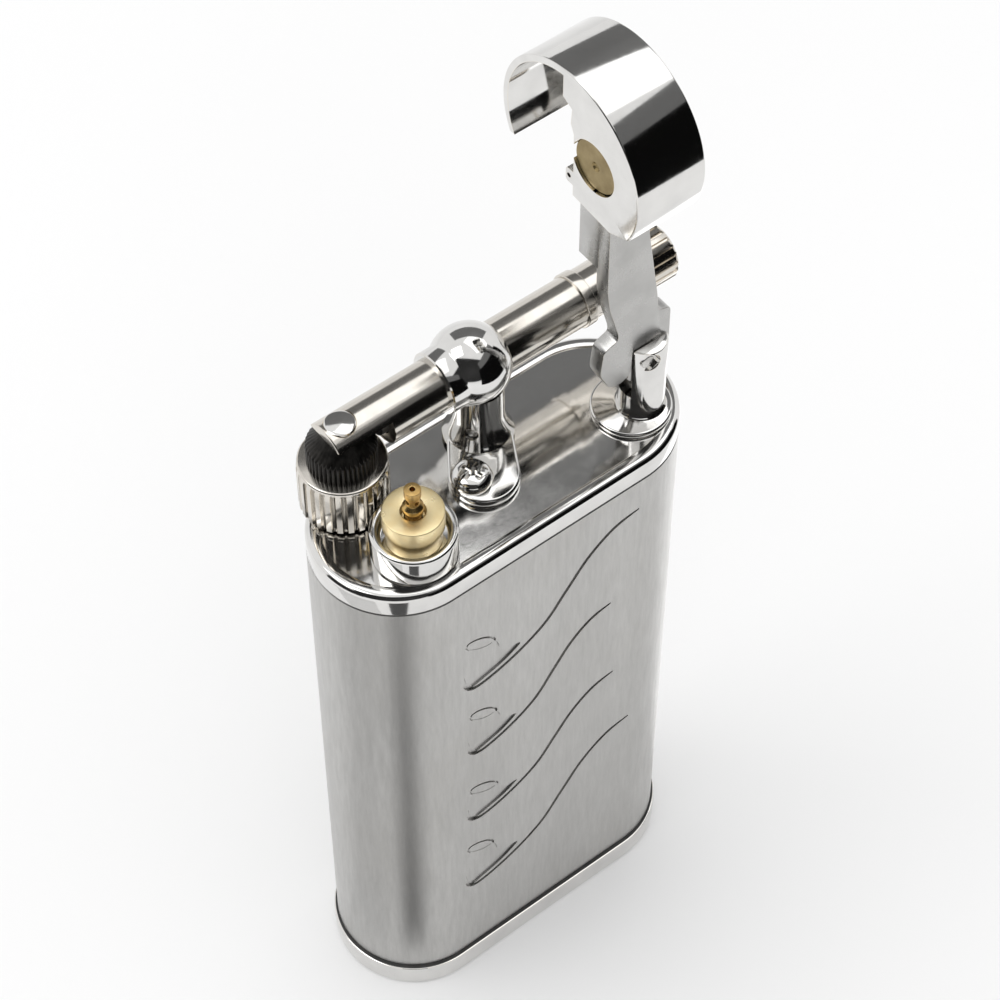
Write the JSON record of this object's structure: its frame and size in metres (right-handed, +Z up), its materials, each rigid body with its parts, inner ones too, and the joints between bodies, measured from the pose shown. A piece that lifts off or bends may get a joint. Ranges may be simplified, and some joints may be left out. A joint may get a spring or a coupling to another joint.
{
  "type": "flint pipe lighter",
  "caption": "Slim oval metal lighter with side-swinging snuffer cap, exposed flint tube and spark wheel, brass burner and engraved front.",
  "frame": {"origin": "centre of the flat underside of the base", "axes": "+Z up, +X along the wide side towards the hinge post, -Y is the engraved front"},
  "size_m": [0.0353, 0.0151, 0.0943],
  "materials": {
    "satin_nickel": "vertically brushed satin nickel with engraved lines",
    "polished_nickel": "polished nickel plate",
    "warm_nickel": "slightly warm, lightly rubbed nickel plate",
    "satin_arm": "satin nickel on flat faces",
    "burner_brass": "pale turned brass",
    "nozzle_brass": "heat-darkened brass",
    "pad_brass": "dull turned brass",
    "valve_brass": "machined brass",
    "wheel_steel": "dark hardened steel, finely cut",
    "screw_steel": "plated steel screw",
    "spring_steel": "drawn spring wire",
    "flint_alloy": "dark grey ferrocerium",
    "tank_alloy": "plain drawn alloy",
    "seal_rubber": "black seal rubber",
    "wick_fibre": "off-white fibre wick"
  },
  "bodies": {
    "case": {"adjuster_seal": "seal_rubber", "base_cap": "polished_nickel", "base_screws": "screw_steel", "body_sleeve": "satin_nickel", "burner_cup": "polished_nickel", "burner_disc": "burner_brass", "centre_ball": "polished_nickel", "detent_plunger": "screw_steel", "detent_spring": "spring_steel", "filler_seal": "seal_rubber", "filler_spring": "spring_steel", "filler_valve": "valve_brass", "flint": "flint_alloy", "flint_follower": "valve_brass", "flint_spring": "spring_steel", "flint_tube": "warm_nickel", "fuel_tank": "tank_alloy", "fuel_wick": "wick_fibre", "hinge_pin": "screw_steel", "hinge_post": "polished_nickel", "pillar": "polished_nickel", "pillar_screw": "screw_steel", "post_nut": "screw_steel", "tank_lid": "tank_alloy", "top_cap": "polished_nickel", "tube_collar": "warm_nickel", "valve_body": "valve_brass", "valve_gasket": "seal_rubber", "valve_seal": "seal_rubber", "valve_spring": "spring_steel", "wheel_axle": "polished_nickel", "wheel_washer": "screw_steel"},
    "arm": {"snuffer_arm": "satin_arm", "snuffer_drum": "polished_nickel", "seal_pad": "pad_brass", "pad_washer": "seal_rubber"},
    "nozzle": {"gas_nozzle": "nozzle_brass"},
    "wheel": {"thumb_ring": "warm_nickel", "spark_wheel": "wheel_steel"},
    "flint_knob": {"flint_screw": "warm_nickel"},
    "adjuster": {"flame_adjuster": "valve_brass"},
    "filler": {"filler_stem": "valve_brass"}
  },
  "joints": [
    {"name": "arm_hinge", "type": "hinge", "parent": "case", "child": "arm", "pos_m": [0.0113, -0.0024, 0.0659], "axis": [0, -1, 0], "range_deg": [0, 79]},
    {"name": "nozzle_slide", "type": "slide", "parent": "case", "child": "nozzle", "axis": [0, 0, -1], "range_m": [0, 0.0008], "deforming": ["valve_spring"]},
    {"name": "wheel_spin", "type": "hinge", "parent": "case", "child": "wheel", "pos_m": [-0.0109, 0.0041, 0.0635], "axis": [0, 0, 1], "continuous": true},
    {"name": "flint_screw_turn", "type": "hinge", "parent": "case", "child": "flint_knob", "pos_m": [0.0177, 0.0041, 0.066], "axis": [1, 0, 0], "continuous": true},
    {"name": "flame_adjust", "type": "hinge", "parent": "case", "child": "adjuster", "pos_m": [-0.0065, 0, 0.001], "axis": [0, 0, 1], "range_deg": [-150, 150]},
    {"name": "filler_slide", "type": "slide", "parent": "case", "child": "filler", "axis": [0, 0, 1], "range_m": [0, 0.001], "stiffness_N_per_m": 150, "springref_m": -0.0005, "deforming": ["filler_spring"]}
  ],
  "couplings": [
    {"joint": "nozzle_slide", "follows": "arm_hinge", "m_per_rad": 0.000575}
  ]
}
